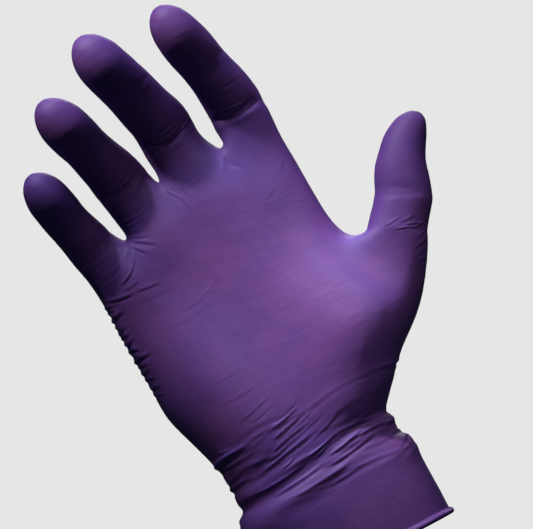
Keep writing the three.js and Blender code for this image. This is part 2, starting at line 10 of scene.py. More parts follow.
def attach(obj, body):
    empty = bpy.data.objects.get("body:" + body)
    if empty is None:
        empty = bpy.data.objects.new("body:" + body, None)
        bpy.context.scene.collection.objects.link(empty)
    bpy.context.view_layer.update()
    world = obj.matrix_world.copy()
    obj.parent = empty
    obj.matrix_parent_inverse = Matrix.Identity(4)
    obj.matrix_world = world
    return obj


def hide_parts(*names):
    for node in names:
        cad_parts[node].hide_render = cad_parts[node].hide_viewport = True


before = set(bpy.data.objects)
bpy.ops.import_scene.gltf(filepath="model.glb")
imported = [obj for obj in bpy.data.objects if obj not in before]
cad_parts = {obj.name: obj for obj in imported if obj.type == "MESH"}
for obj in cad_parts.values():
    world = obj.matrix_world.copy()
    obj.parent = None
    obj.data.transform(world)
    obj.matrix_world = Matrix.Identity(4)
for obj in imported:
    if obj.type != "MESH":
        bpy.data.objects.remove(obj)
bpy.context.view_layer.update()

MM = 0.001
FILM = 0.8  # mm, drawn thickness of the film
BEAD = 1.15  # mm, radius of the rolled rim
RIM_ROW = 5.0  # mm, height of the solid's first row above the bead
OUTER_TRIANGLES = 165000
INNER_TRIANGLES = 22000
SMOOTH_LEVELS = 4  # subdivisions of the solid's own faces
FIT_ROUNDS = 4  # moves of the cage until the smooth surface meets its points
BAND_HEIGHTS = (4.2, 3.4, 2.9)  # mm, rows from the lowest row down to the bead
INSIDE_HEIGHTS = (3.4, 5.0, 7.0)  # mm, rows from the bead up inside the cuff
BEAD_ROWS = 15
BEAD_START = 62  # degrees, where the band meets the bead's round
BEAD_TURN = 300  # degrees of the round that are drawn
GATHERS = 54  # seeded folds round the wrist and the cuff
GATHERS_FROM = 33  # mm, height of the lowest
GATHERS_BAND = 36  # mm, height from the lowest to the highest
PALM_SIDE = (215, 325)  # degrees round the wrist where PALM_FOLDS has the gathers

# Folds of the palm side, in mm: start, middle and end of a curved line as seen from the front
# (x, z), its half width, its height, and its form. A ridge stands up, a crease goes in, a fold is
# a ridge with a crease below it, and a joint is a crease with a rim below and a hollow above.
PALM_FOLDS = [
    # little finger
    (-48.0, 156.0, -40.0, 156.4, -32.0, 160.2, 0.62, 0.62, "joint"),
    (-45.5, 158.0, -38.5, 158.8, -31.6, 163.0, 0.42, 0.3, "crease"),
    (-46.5, 160.2, -41.0, 160.0, -35.0, 162.2, 0.38, 0.12, "crease"),
    (-52.0, 171.4, -44.0, 171.4, -36.4, 175.2, 1.1, 0.24, "joint"),
    (-44.5, 146.2, -37.0, 147.0, -30.5, 150.6, 0.42, 0.26, "crease"),
    (-44.0, 150.4, -37.5, 150.6, -31.5, 152.8, 0.4, 0.16, "crease"),
    (-45.0, 153.2, -39.0, 153.2, -33.0, 154.8, 0.38, 0.12, "crease"),
    (-38.0, 141.8, -31.0, 144.8, -27.6, 148.6, 0.55, 0.4, "fold"),
    (-28.6, 147.4, -26.2, 151.4, -26.2, 156.8, 0.6, 0.46, "ridge"),
    (-30.4, 150.6, -27.8, 152.8, -26.6, 155.4, 0.45, 0.26, "fold"),
    (-36.5, 140.0, -32.4, 140.0, -28.6, 141.5, 0.42, 0.24, "fold"),
    (-46.0, 139.8, -39.0, 138.0, -32.0, 137.6, 0.62, 0.42, "fold"),
    (-33.0, 137.6, -27.0, 136.8, -21.0, 136.4, 0.5, 0.26, "fold"),
    # web of the ring and the little finger
    (-25.8, 156.6, -23.4, 152.4, -17.6, 148.0, 0.6, 0.26, "ridge"),
    (-24.6, 156.4, -19.6, 153.4, -14.0, 149.4, 0.6, 0.26, "fold"),
    (-26.0, 158.6, -20.6, 156.2, -15.4, 154.6, 0.45, 0.22, "fold"),
    (-25.0, 154.0, -23.6, 150.8, -21.4, 148.2, 0.4, 0.22, "crease"),
    # ring finger
    (-27.4, 177.4, -19.0, 174.9, -8.6, 180.2, 0.65, 0.72, "joint"),
    (-25.0, 178.9, -17.2, 178.0, -9.0, 182.6, 0.42, 0.3, "crease"),
    (-27.8, 181.2, -21.0, 180.0, -13.6, 182.4, 0.38, 0.12, "crease"),
    (-26.4, 166.6, -18.4, 164.8, -9.6, 167.4, 0.42, 0.22, "crease"),
    (-25.8, 163.6, -17.6, 163.0, -9.4, 166.0, 0.45, 0.26, "crease"),
    (-25.6, 161.2, -20.0, 160.4, -15.0, 161.4, 0.4, 0.14, "crease"),
    (-26.6, 171.2, -19.0, 169.8, -10.4, 171.8, 0.38, 0.09, "crease"),
    (-32.4, 196.8, -24.0, 196.0, -15.0, 200.6, 1.1, 0.26, "joint"),
    # middle finger
    (-3.0, 188.0, 7.4, 183.8, 18.6, 189.8, 0.68, 0.78, "joint"),
    (-1.0, 188.6, 6.4, 186.6, 16.6, 189.6, 0.42, 0.3, "crease"),
    (-1.6, 190.9, 6.3, 189.0, 15.4, 190.8, 0.45, 0.34, "crease"),
    (-3.4, 194.0, 3.0, 192.4, 10.0, 192.6, 0.36, 0.1, "crease"),
    (1.0, 180.6, 8.0, 179.6, 16.0, 181.4, 0.4, 0.08, "crease"),
    (-7.4, 206.4, 3.2, 206.8, 13.2, 212.4, 1.15, 0.28, "joint"),
    (-2.8, 168.2, -0.2, 164.6, 2.6, 160.6, 0.5, 0.14, "fold"),
    (-1.4, 167.6, 0.4, 165.0, 2.0, 162.4, 0.4, 0.12, "crease"),
    (0.4, 164.4, 2.2, 159.8, 3.2, 154.6, 0.4, 0.08, "fold"),
    (3.2, 166.4, 4.2, 163.6, 5.0, 161.0, 0.36, 0.08, "fold"),
    (9.0, 170.4, 10.8, 167.2, 12.4, 163.8, 0.36, 0.06, "fold"),
    # index finger
    (26.6, 183.6, 36.4, 180.6, 48.0, 182.4, 0.66, 0.76, "joint"),
    (27.6, 185.4, 33.4, 183.6, 41.6, 183.9, 0.4, 0.32, "crease"),
    (27.4, 187.6, 33.6, 185.8, 44.4, 184.8, 0.45, 0.36, "crease"),
    (35.4, 180.8, 40.6, 182.2, 46.2, 185.0, 0.42, 0.32, "crease"),
    (28.4, 192.2, 34.4, 190.2, 42.4, 189.8, 0.38, 0.18, "crease"),
    (27.6, 190.0, 31.6, 188.8, 36.4, 188.6, 0.36, 0.12, "crease"),
    (33.0, 193.8, 39.0, 193.2, 46.0, 194.4, 0.38, 0.12, "crease"),
    (25.4, 205.4, 35.0, 203.4, 44.0, 207.0, 1.15, 0.28, "joint"),
    (24.4, 169.0, 25.4, 164.6, 29.6, 160.6, 0.7, 0.3, "crease"),
    (24.4, 170.8, 22.6, 166.6, 20.2, 162.4, 0.8, 0.3, "ridge"),
    (38.5, 151.5, 42.0, 154.2, 45.5, 156.4, 0.4, 0.06, "fold"),
    # thumb
    (71.6, 126.2, 79.4, 122.4, 88.6, 118.2, 1.1, 0.16, "joint"),
    (67.8, 114.6, 71.6, 114.4, 75.8, 115.2, 0.38, 0.14, "fold"),
    (70.6, 111.2, 75.0, 110.2, 79.4, 108.2, 0.4, 0.18, "fold"),
    (73.6, 113.0, 77.4, 112.6, 81.4, 113.4, 0.36, 0.14, "fold"),
    (75.5, 110.6, 78.5, 110.2, 82.4, 108.2, 0.38, 0.2, "fold"),
    (77.5, 109.0, 80.0, 108.4, 83.6, 109.6, 0.4, 0.24, "fold"),
    (77.8, 104.6, 80.2, 105.0, 82.6, 106.0, 0.4, 0.22, "fold"),
    (74.6, 101.2, 78.0, 101.6, 81.0, 102.8, 0.42, 0.28, "fold"),
    (73.4, 98.4, 76.8, 98.6, 79.8, 99.8, 0.42, 0.28, "fold"),
    (72.6, 95.6, 75.4, 95.8, 78.2, 97.0, 0.42, 0.28, "fold"),
    (71.6, 92.8, 74.2, 93.0, 76.6, 94.4, 0.42, 0.26, "fold"),
    # palm
    (-24.0, 122.0, -8.0, 123.6, 3.4, 131.4, 0.5, 0.09, "fold"),
    (-38.0, 133.4, -26.0, 132.2, -12.0, 132.2, 0.42, 0.06, "fold"),
    (-30.0, 118.6, -16.0, 118.2, -4.0, 121.4, 0.5, 0.06, "fold"),
    (29.6, 146.0, 34.0, 147.0, 38.6, 149.4, 0.4, 0.1, "fold"),
    (-24.0, 90.2, -14.0, 90.2, -6.0, 92.4, 0.45, 0.05, "fold"),
    (-26.0, 81.6, -14.0, 81.2, -4.0, 83.0, 0.45, 0.06, "fold"),
    (-20.6, 71.4, -11.6, 73.6, -3.6, 76.2, 0.42, 0.16, "fold"),
    (-16.0, 69.0, -10.0, 70.6, -4.0, 72.4, 0.4, 0.14, "fold"),
    # wrist
    (-33.8, 64.5, -30.0, 64.2, -26.4, 64.5, 0.45, 0.36, "ridge"),
    (-18.0, 64.0, -15.0, 64.0, -12.0, 64.6, 0.4, 0.12, "ridge"),
    (-8.0, 65.8, -1.0, 66.8, 5.6, 69.4, 0.42, 0.24, "fold"),
    (-9.6, 63.5, -3.0, 64.8, 4.6, 66.8, 0.5, 0.4, "fold"),
    (-11.4, 59.4, -4.6, 61.0, 6.0, 63.6, 0.55, 0.46, "fold"),
    (-8.0, 58.4, 0.6, 60.2, 11.0, 63.4, 0.42, 0.26, "fold"),
    (-14.6, 54.6, -7.0, 57.0, 5.6, 59.4, 0.55, 0.44, "fold"),
    (-10.0, 54.6, 2.0, 57.0, 14.0, 60.6, 0.42, 0.26, "fold"),
    (-27.0, 59.2, -24.0, 60.0, -21.0, 61.2, 0.42, 0.2, "fold"),
    (-22.6, 49.4, -8.0, 52.4, 7.0, 55.0, 0.6, 0.5, "fold"),
    (-18.0, 52.4, -12.0, 53.4, -5.0, 55.4, 0.42, 0.26, "fold"),
    (-13.6, 47.4, -10.0, 48.2, -6.0, 49.6, 0.45, 0.3, "fold"),
    (-3.0, 46.8, 4.0, 48.0, 12.6, 49.8, 0.5, 0.42, "fold"),
    (2.0, 52.0, 10.0, 54.2, 18.0, 57.4, 0.45, 0.28, "fold"),
    (0.4, 44.6, 4.0, 46.2, 8.0, 47.7, 0.42, 0.3, "fold"),
    (-30.0, 43.4, -16.0, 43.6, -2.0, 45.6, 0.6, 0.42, "fold"),
    (4.0, 43.6, 14.0, 44.8, 25.0, 47.8, 0.6, 0.4, "fold"),
    (-24.0, 39.0, -9.0, 40.2, 4.0, 42.2, 0.65, 0.4, "fold"),
    (2.0, 39.6, 14.0, 40.8, 27.0, 43.0, 0.65, 0.36, "fold"),
    (-16.0, 35.6, 0.0, 36.0, 15.0, 38.0, 0.8, 0.36, "fold"),
]
# Short folds round the little finger's edge of the palm, in mm: z at the edge, z and x where it
# ends on the palm, half width and height.
EDGE_X = -47.0
EDGE_FOLDS = [
    (137.2, 136.4, -42.0, 0.7, 0.36),
    (135.2, 134.8, -42.5, 0.65, 0.3),
    (133.4, 133.6, -40.5, 0.7, 0.4),
    (131.0, 132.2, -41.0, 0.75, 0.45),
    (127.4, 128.2, -43.4, 0.7, 0.26),
    (125.0, 126.4, -42.6, 0.7, 0.3),
    (123.0, 124.4, -42.2, 0.7, 0.34),
    (119.8, 121.2, -42.0, 0.7, 0.34),
    (117.4, 116.6, -41.4, 0.7, 0.38),
    (115.0, 115.4, -40.6, 0.7, 0.34),
    (112.2, 113.4, -39.0, 0.8, 0.5),
    (109.6, 110.6, -41.6, 0.7, 0.26),
    (106.6, 107.4, -42.0, 0.7, 0.26),
    (103.8, 104.2, -41.4, 0.65, 0.22),
    (100.6, 99.4, -41.0, 0.65, 0.2),
    (97.4, 96.8, -41.6, 0.65, 0.16),
]
# Folds of the back, as PALM_FOLDS: over the knuckles, the finger joints and the webs.
BACK_FOLDS = [
    (-47.0, 163.0, -41.8, 164.9, -36.0, 165.6, 0.9, 0.22, "fold"),
    (-47.5, 166.0, -42.4, 167.7, -37.0, 168.4, 0.9, 0.26, "fold"),
    (-49.0, 169.6, -43.9, 171.1, -38.5, 171.8, 0.9, 0.2, "fold"),
    (-52.5, 184.0, -47.4, 185.1, -42.0, 185.4, 0.8, 0.16, "fold"),
    (-26.0, 183.6, -19.5, 185.6, -12.0, 186.0, 0.95, 0.24, "fold"),
    (-27.0, 187.0, -20.6, 189.1, -13.4, 189.6, 0.95, 0.28, "fold"),
    (-28.0, 190.8, -22.0, 192.5, -15.0, 193.2, 0.9, 0.2, "fold"),
    (-34.5, 206.6, -27.9, 207.9, -21.0, 208.0, 0.8, 0.16, "fold"),
    (-1.0, 195.6, 6.6, 197.4, 14.5, 197.4, 0.95, 0.24, "fold"),
    (-1.5, 199.4, 5.8, 201.3, 13.5, 201.6, 0.95, 0.28, "fold"),
    (-2.5, 203.4, 4.8, 205.0, 12.5, 205.4, 0.9, 0.2, "fold"),
    (-8.0, 219.6, -1.4, 220.8, 6.5, 220.6, 0.8, 0.16, "fold"),
    (28.5, 190.8, 36.1, 192.6, 44.0, 192.6, 0.95, 0.24, "fold"),
    (28.0, 194.6, 35.6, 196.4, 43.4, 196.6, 0.95, 0.26, "fold"),
    (27.4, 198.6, 34.7, 200.2, 42.4, 200.6, 0.9, 0.18, "fold"),
    (25.0, 215.6, 31.4, 216.7, 38.6, 216.4, 0.8, 0.16, "fold"),
    (74.0, 122.6, 80.5, 124.8, 88.0, 124.0, 1.0, 0.26, "fold"),
    (75.5, 125.8, 81.9, 128.1, 89.0, 127.6, 1.0, 0.26, "fold"),
    (-27.0, 157.0, -24.0, 150.8, -19.0, 145.0, 0.9, 0.34, "fold"),
    (-27.4, 156.6, -31.6, 151.5, -35.6, 147.4, 0.9, 0.3, "fold"),
    (-3.0, 170.6, -6.7, 163.2, -9.6, 155.6, 0.9, 0.34, "fold"),
    (-2.4, 170.6, 0.8, 163.7, 3.0, 157.0, 0.9, 0.26, "fold"),
    (25.0, 171.4, 21.0, 164.1, 17.6, 157.0, 0.9, 0.34, "fold"),
    (25.4, 171.4, 28.1, 164.6, 29.6, 158.4, 0.9, 0.26, "fold"),
    (56.0, 116.6, 45.5, 111.6, 34.0, 108.6, 1.1, 0.3, "fold"),
    (58.0, 116.0, 51.0, 106.9, 42.0, 99.6, 1.1, 0.26, "fold"),
    (-41.0, 139.0, -33.2, 137.6, -24.0, 137.8, 0.9, 0.2, "fold"),
    (-43.0, 121.0, -35.8, 119.7, -28.0, 119.6, 0.9, 0.14, "fold"),
    (-24.0, 72.6, -7.0, 71.2, 12.0, 72.0, 1.1, 0.3, "fold"),
    (-10.0, 67.4, 8.0, 66.3, 26.0, 67.8, 1.1, 0.36, "fold"),
    (-32.0, 63.6, -15.5, 62.3, 2.0, 62.8, 1.1, 0.4, "fold"),
    (2.0, 59.6, 16.5, 59.0, 32.0, 60.4, 1.1, 0.42, "fold"),
    (-30.0, 57.0, -12.0, 56.1, 6.0, 57.4, 1.1, 0.46, "fold"),
    (-20.0, 51.6, 0.0, 51.0, 20.0, 53.0, 1.1, 0.5, "fold"),
    (-32.0, 46.6, -13.0, 45.5, 8.0, 46.0, 1.1, 0.5, "fold"),
    (2.0, 42.0, 15.0, 41.3, 30.0, 42.6, 1.1, 0.45, "fold"),
    (-26.0, 38.4, -6.0, 37.0, 14.0, 37.4, 1.2, 0.45, "fold"),
]
# The webs, where the film is stretched thin and shows bluer, in mm: x, z and reach.
WEBS = [(-26.5, 155.0, 9.0), (-3.4, 168.0, 9.0), (24.5, 167.0, 11.0), (56.0, 114.0, 7.0)]


def new_mesh(name, verts, faces):
    mesh = bpy.data.meshes.new(name)
    mesh.from_pydata([tuple(v) for v in verts], [], [tuple(f) for f in faces])
    mesh.update()
    return mesh


def positions(mesh):
    co = np.empty(len(mesh.vertices) * 3)
    mesh.vertices.foreach_get("co", co)
    return co.reshape(-1, 3)


def normals(mesh):
    no = np.empty(len(mesh.vertices) * 3)
    mesh.vertex_normals.foreach_get("vector", no)
    return no.reshape(-1, 3)


def put_positions(mesh, co):
    mesh.vertices.foreach_set("co", np.asarray(co, np.float64).ravel())
    mesh.update()


def islands(bm):
    """The connected groups of faces."""
    left = set(bm.faces)
    while left:
        start = left.pop()
        group, queue = [start], [start]
        while queue:
            for edge in queue.pop().edges:
                for face in edge.link_faces:
                    if face in left:
                        left.remove(face)
                        group.append(face)
                        queue.append(face)
        yield group


def outer_cage(node):
    """The solid's outer face above the bead, as quads."""
    bm = bmesh.new()
    bm.from_mesh(node.data)
    bmesh.ops.remove_doubles(bm, verts=bm.verts, dist=1e-5)
    low = [v for v in bm.verts if v.co.z < (RIM_ROW - 0.6) * MM]
    bmesh.ops.delete(bm, geom=low, context="VERTS")
    groups = sorted(islands(bm), key=lambda g: sum(f.calc_area() for f in g))
    inner = [f for group in groups[:-1] for f in group]
    bmesh.ops.delete(bm, geom=inner, context="FACES")
    bmesh.ops.join_triangles(bm, faces=bm.faces, angle_face_threshold=math.radians(70),
                             angle_shape_threshold=math.radians(80), topology_influence=1.0)
    mesh = bpy.data.meshes.new("cage")
    bm.to_mesh(mesh)
    bm.free()
    return mesh


def subdivided(mesh, levels, limit=False):
    """Positions and faces of the mesh after smooth subdivision."""
    obj = bpy.data.objects.new("work", mesh)
    bpy.context.scene.collection.objects.link(obj)
    smooth = obj.modifiers.new("smooth", "SUBSURF")
    smooth.levels = levels
    smooth.use_limit_surface = limit
    result = bpy.data.meshes.new_from_object(
        obj.evaluated_get(bpy.context.evaluated_depsgraph_get()))
    bpy.data.objects.remove(obj)
    return result


def smooth_surface(cage):
    """A smooth surface through the cage's own points."""
    goal = positions(cage)
    for _ in range(FIT_ROUNDS):
        limit = subdivided(cage, 1, True)
        off = goal - positions(limit)[: len(goal)]
        put_positions(cage, positions(cage) + off)
        bpy.data.meshes.remove(limit)
    return subdivided(cage, SMOOTH_LEVELS)


def smoothstep(x, low, high):
    t = np.clip((x - low) / (high - low), 0, 1)
    return t * t * (3 - 2 * t)


def profile(distance, form):
    """Height across a fold, from the signed distance over its half width; positive is above."""
    middle = np.exp(-distance ** 2)
    below = np.exp(-((distance + 1.8) / 1.1) ** 2)
    if form == "fold":
        return middle - 0.8 * below
    if form == "crease":
        return 0.35 * below - middle
    if form == "joint":
        rim = np.exp(-((distance + 2.4) / 2.0) ** 2)
        hollow = np.exp(-(np.maximum(distance, 0) / 6.0) ** 1.5) * smoothstep(distance, -1.1, 0.4)
        return 0.22 * rim - 0.6 * hollow - 0.4 * middle
    return middle


def stroke(x, z, row):
    """Height of one curved fold at points seen from the front or back."""
    x0, z0, x1, z1, x2, z2, width, height, form = row
    reach = (16 if form == "joint" else 4.5) * width
    near = np.flatnonzero(
        (x > min(x0, x1, x2) - reach) & (x < max(x0, x1, x2) + reach)
        & (z > min(z0, z1, z2) - reach) & (z < max(z0, z1, z2) + reach))
    out = np.zeros(len(x))
    if not len(near):
        return out
    t = np.linspace(0, 1, 41)
    start, middle, end = (1 - t) * (1 - 2 * t), 4 * t * (1 - t), t * (2 * t - 1)
    cx = start * x0 + middle * x1 + end * x2
    cz = start * z0 + middle * z1 + end * z2
    tx, tz = np.gradient(cx), np.gradient(cz)
    length = np.hypot(tx, tz)
    px, pz = x[near][:, None] - cx, z[near][:, None] - cz
    k = np.argmin(px ** 2 + pz ** 2, 1)
    rows = np.arange(len(near))
    px, pz, tx, tz, length = px[rows, k], pz[rows, k], tx[k], tz[k], length[k]
    across = (pz * tx - px * tz) / length
    along = (px * tx + pz * tz) / length
    ends = smoothstep(np.minimum(t[k], 1 - t[k]), 0, 0.12 if form == "joint" else 0.3)
    beyond = np.exp(-(along / (1.5 * width)) ** 2)
    sign = 1 if x2 > x0 else -1
    out[near] = height * profile(sign * across / width, form) * ends * beyond
    return out


def waves(co, scale, seed):
    """Smooth seeded noise from a few crossed waves, about -1 to 1."""
    rng = np.random.default_rng(seed)
    total = np.zeros(len(co))
    for _ in range(14):
        direction = rng.normal(size=3)
        direction /= np.linalg.norm(direction)
        length = scale * rng.uniform(0.7, 1.5)
        total += np.sin(co @ direction * 2 * np.pi / length + rng.uniform(0, 2 * np.pi))
    return total / 5.0


def fold_heights(co, no):
    """Height of all folds at each point, in mm."""
    x, z = co[:, 0], co[:, 2]
    palm = smoothstep(-no[:, 1], -0.15, 0.25)
    back = smoothstep(no[:, 1], -0.15, 0.25)
    total = np.zeros(len(co))
    for row in PALM_FOLDS:
        total += stroke(x, z, row) * palm
    for row in BACK_FOLDS:
        total += stroke(x, z, row) * back
    for z_edge, z_end, x_end, width, height in EDGE_FOLDS:
        edge = smoothstep(-no[:, 0], -0.2, 0.4) * smoothstep(-x, -x_end - 2, -x_end + 3)
        line = z_edge + (z_end - z_edge) * np.clip((x - EDGE_X) / (x_end - EDGE_X), 0, 1.4)
        across = (z - line - 0.5 * np.sin(co[:, 1] * 0.5 + z_edge)) / width
        total += height * profile(across, "fold") * edge
    return total


def gathers(co):
    """Seeded folds round the wrist and the cuff, in mm."""
    rng = np.random.default_rng(7)
    turn = np.degrees(np.arctan2(co[:, 1], co[:, 0])) % 360
    z = co[:, 2]
    total = np.zeros(len(co))
    for i in range(GATHERS):
        centre = (i * 137.5 + rng.uniform(-20, 20)) % 360
        height = GATHERS_FROM + GATHERS_BAND * rng.uniform() ** 1.2
        spread = rng.uniform(14, 42)
        rise = rng.uniform(-1.5, 3.0)
        width = rng.uniform(0.6, 1.1)
        high = rng.uniform(0.16, 0.4) * (0.4 if PALM_SIDE[0] < centre < PALM_SIDE[1] else 1.0)
        away = (turn - centre + 180) % 360 - 180
        line = height + rise * away / spread + 0.7 * np.sin(away / 9 + i)
        total += high * np.exp(-(away / spread) ** 4) * profile((z - line) / width, "fold")
    return total


def displaced(mesh):
    """Moves the smooth surface to its folds, and keeps the fold height as an attribute, which the
    colour also uses for a painted highlight on the ridges.
    """
    co = positions(mesh) / MM
    no = normals(mesh)
    near_wrist = smoothstep(co[:, 2], 6, 20) * (1 - smoothstep(co[:, 2], 64, 74))
    height = fold_heights(co, no) + gathers(co) * near_wrist
    fine = 0.05 * waves(co, 9, 3) + 0.03 * waves(co, 4.5, 5)
    soft = 0.22 * waves(co, 42, 11) * smoothstep(co[:, 2], 8, 30)
    cuff = 0.55 * waves(co * [1, 1, 0.35], 38, 21) * (1 - smoothstep(co[:, 2], 26, 40))
    calm = smoothstep(co[:, 2], RIM_ROW, RIM_ROW + 6)
    shift = (height + fine + soft) * calm + cuff
    put_positions(mesh, (co + no * shift[:, None]) * MM)
    mesh.attributes.new("fold", "FLOAT", "POINT").data.foreach_set(
        "value", height.astype(np.float32))
    web = np.zeros(len(co))
    for x, z, reach in WEBS:
        web = np.maximum(web, np.exp(-((co[:, 0] - x) ** 2 + (co[:, 2] - z) ** 2) / reach ** 2))
    mesh.attributes.new("web", "FLOAT", "POINT").data.foreach_set("value", web.astype(np.float32))
    return mesh


def reduced(mesh, triangles):
    """The mesh with fewer triangles, closest where it bends."""
    count = sum(len(p.vertices) - 2 for p in mesh.polygons)
    obj = bpy.data.objects.new("work", mesh)
    bpy.context.scene.collection.objects.link(obj)
    fewer = obj.modifiers.new("fewer", "DECIMATE")
    fewer.ratio = min(1, triangles / count)
    result = bpy.data.meshes.new_from_object(
        obj.evaluated_get(bpy.context.evaluated_depsgraph_get()))
    bpy.data.objects.remove(obj)
    return result


def rim_loop(mesh):
    """The open edge's points in order round the cuff, with their outward directions."""
    bm = bmesh.new()
    bm.from_mesh(mesh)
    edges = [e for e in bm.edges if e.is_boundary]
    follow = {}
    for e in edges:
        a, b = e.verts
        follow.setdefault(a.index, []).append(b.index)
        follow.setdefault(b.index, []).append(a.index)
    start = edges[0].verts[0].index
    loop, last = [start], None
    while True:
        step = [k for k in follow[loop[-1]] if k != last]
        last = loop[-1]
        if step[0] == start or (len(loop) > 2 and start in step):
            break
        loop.append(step[0])
    co = positions(mesh)[loop]
    no = normals(mesh)[loop]
    bm.free()
    no[:, 2] = 0
    no /= np.linalg.norm(no, axis=1)[:, None]
    return co, no


def rim_band(mesh):
    """The film from its lowest row down to the rolled bead, round it, and up inside."""
    co, out = rim_loop(mesh)
    bottom = co.copy()
    bottom[:, 2] = 0
    turn = np.arctan2(co[:, 1], co[:, 0])
    bead = BEAD * (1 + 0.06 * np.sin(turn * 7) + 0.05 * np.sin(turn * 13 + 1)) * MM
    rings = [co]
    for z in BAND_HEIGHTS:
        ring = bottom.copy()
        ring[:, 2] = z * MM
        rings.append(ring)
    for k in range(BEAD_ROWS):
        angle = math.radians(BEAD_START - BEAD_TURN * k / (BEAD_ROWS - 1))
        ring = bottom + out * (bead * math.cos(angle) + 0.25 * MM)[:, None]
        ring[:, 2] = bead * (1 + math.sin(angle))
        rings.append(ring)
    for z in INSIDE_HEIGHTS:
        ring = bottom - out * (FILM + 0.03) * MM
        ring[:, 2] = z * MM
        rings.append(ring)
    count = len(co)
    verts = np.concatenate(rings)
    faces = []
    for r in range(len(rings) - 1):
        for c in range(count):
            d = (c + 1) % count
            faces.append((r * count + c, r * count + d, (r + 1) * count + d, (r + 1) * count + c))
    band = new_mesh("rim", verts, faces)
    bm = bmesh.new()
    bm.from_mesh(band)
    bm.normal_update()
    # the bead's lowest faces have to look down, so more than a ring of them looking up is wrong
    underneath = [f for f in bm.faces if f.calc_center_median().z < 0.8 * MM]
    if sum(1 for f in underneath if f.normal.z > 0) > count:
        bmesh.ops.reverse_faces(bm, faces=bm.faces)
    bm.to_mesh(band)
    bm.free()
    return band


def film_inside(mesh):
    """The film's inner face: the outer one moved in and turned round."""
    inner = mesh.copy()
    put_positions(inner, positions(mesh) - normals(mesh) * FILM * MM)
    inner.flip_normals()
    return inner


def joined(name, meshes):
    """One object of several meshes, welded where their edges meet."""
    bm = bmesh.new()
    for mesh in meshes:
        bm.from_mesh(mesh)
    bmesh.ops.remove_doubles(bm, verts=bm.verts, dist=2e-6)
    whole = bpy.data.meshes.new(name)
    bm.to_mesh(whole)
    bm.free()
    whole.shade_smooth()
    obj = bpy.data.objects.new(name, whole)
    bpy.context.scene.collection.objects.link(obj)
    return obj


def add(nodes, kind, **values):
    """A shader node with its properties and input values."""
    node = nodes.new(kind)
    for key, value in values.items():
        if hasattr(node, key):
            setattr(node, key, value)
        else:
            node.inputs[key.replace("_", " ")].default_value = value
    return node


# Colours of the film: the two tones of its clouds, and where it is stretched; and a painted
# highlight on its ridges.
VIOLET = (0.082, 0.031, 0.194, 1)
PURPLE = (0.118, 0.04, 0.2, 1)
STRETCHED = (0.08, 0.042, 0.27, 1)
RIDGE_HIGHLIGHT = (0.13, 0.075, 0.42, 1)


def film_colour(nodes, links, place):
    """Cloudy violet, bluer at the webs, with a painted highlight making it lighter on the ridges.
    """
    cloud = add(nodes, "ShaderNodeTexNoise", Scale=26.0, Detail=3.0, Roughness=0.55)
    links.new(place.outputs["Object"], cloud.inputs["Vector"])
    tone = nodes.new("ShaderNodeValToRGB")
    tone.color_ramp.elements[0].position = 0.36
    tone.color_ramp.elements[0].color = VIOLET
    tone.color_ramp.elements[1].position = 0.66
    tone.color_ramp.elements[1].color = PURPLE
    links.new(cloud.outputs["Fac"], tone.inputs["Fac"])
    web = add(nodes, "ShaderNodeAttribute", attribute_name="web")
    stretch = add(nodes, "ShaderNodeMath", operation="MULTIPLY")
    stretch.inputs[1].default_value = 0.5
    links.new(web.outputs["Fac"], stretch.inputs[0])
    bluer = add(nodes, "ShaderNodeMixRGB", Color2=STRETCHED)
    links.new(stretch.outputs["Value"], bluer.inputs["Fac"])
    links.new(tone.outputs["Color"], bluer.inputs["Color1"])
    # painted highlight: the colour is made lighter where the fold height stands up, on the
    # ridges' tops
    fold = add(nodes, "ShaderNodeAttribute", attribute_name="fold")
    ridge = add(nodes, "ShaderNodeMapRange", From_Min=0.08, From_Max=0.6, To_Max=0.55)
    links.new(fold.outputs["Fac"], ridge.inputs["Value"])
    painted_highlight = add(nodes, "ShaderNodeMixRGB", Color2=RIDGE_HIGHLIGHT)
    links.new(ridge.outputs["Result"], painted_highlight.inputs["Fac"])
    links.new(bluer.outputs["Color"], painted_highlight.inputs["Color1"])
    return painted_highlight.outputs["Color"]


def film_roughness(nodes, links, place):
    """Satin, a little uneven."""
    haze = add(nodes, "ShaderNodeTexNoise", Scale=70.0, Detail=4.0, Roughness=0.6)
    links.new(place.outputs["Object"], haze.inputs["Vector"])
    rough = add(nodes, "ShaderNodeMapRange", To_Min=0.52, To_Max=0.62)
    links.new(haze.outputs["Fac"], rough.inputs["Value"])
    return rough.outputs["Result"]


def film_ripples(nodes, links, place):
    """Fine ripples across the hand, with a grain on them."""
    stretch = add(nodes, "ShaderNodeMapping", Scale=(0.35, 0.6, 1.6))
    links.new(place.outputs["Object"], stretch.inputs["Vector"])
    ripple = add(nodes, "ShaderNodeTexNoise", Scale=420.0, Detail=3.0, Roughness=0.5)
    links.new(stretch.outputs["Vector"], ripple.inputs["Vector"])
    grain = add(nodes, "ShaderNodeTexNoise", Scale=2600.0, Detail=2.0, Roughness=0.6)
    links.new(place.outputs["Object"], grain.inputs["Vector"])
    mixed = add(nodes, "ShaderNodeMath", operation="MULTIPLY_ADD")
    mixed.inputs[1].default_value = 0.22
    links.new(grain.outputs["Fac"], mixed.inputs[0])
    links.new(ripple.outputs["Fac"], mixed.inputs[2])
    bump = add(nodes, "ShaderNodeBump", Strength=0.35, Distance=0.00026)
    links.new(mixed.outputs["Value"], bump.inputs["Height"])
    return bump.outputs["Normal"]


def nitrile():
    """Satin violet film."""
    material = bpy.data.materials.new("nitrile_film")
    material.use_nodes = True
    nodes, links = material.node_tree.nodes, material.node_tree.links
    shader = nodes["Principled BSDF"]
    shader.inputs["IOR"].default_value = 1.48
    shader.inputs["Specular IOR Level"].default_value = 0.26
    place = nodes.new("ShaderNodeTexCoord")
    links.new(film_colour(nodes, links, place), shader.inputs["Base Color"])
    links.new(film_roughness(nodes, links, place), shader.inputs["Roughness"])
    links.new(film_ripples(nodes, links, place), shader.inputs["Normal"])
    return material


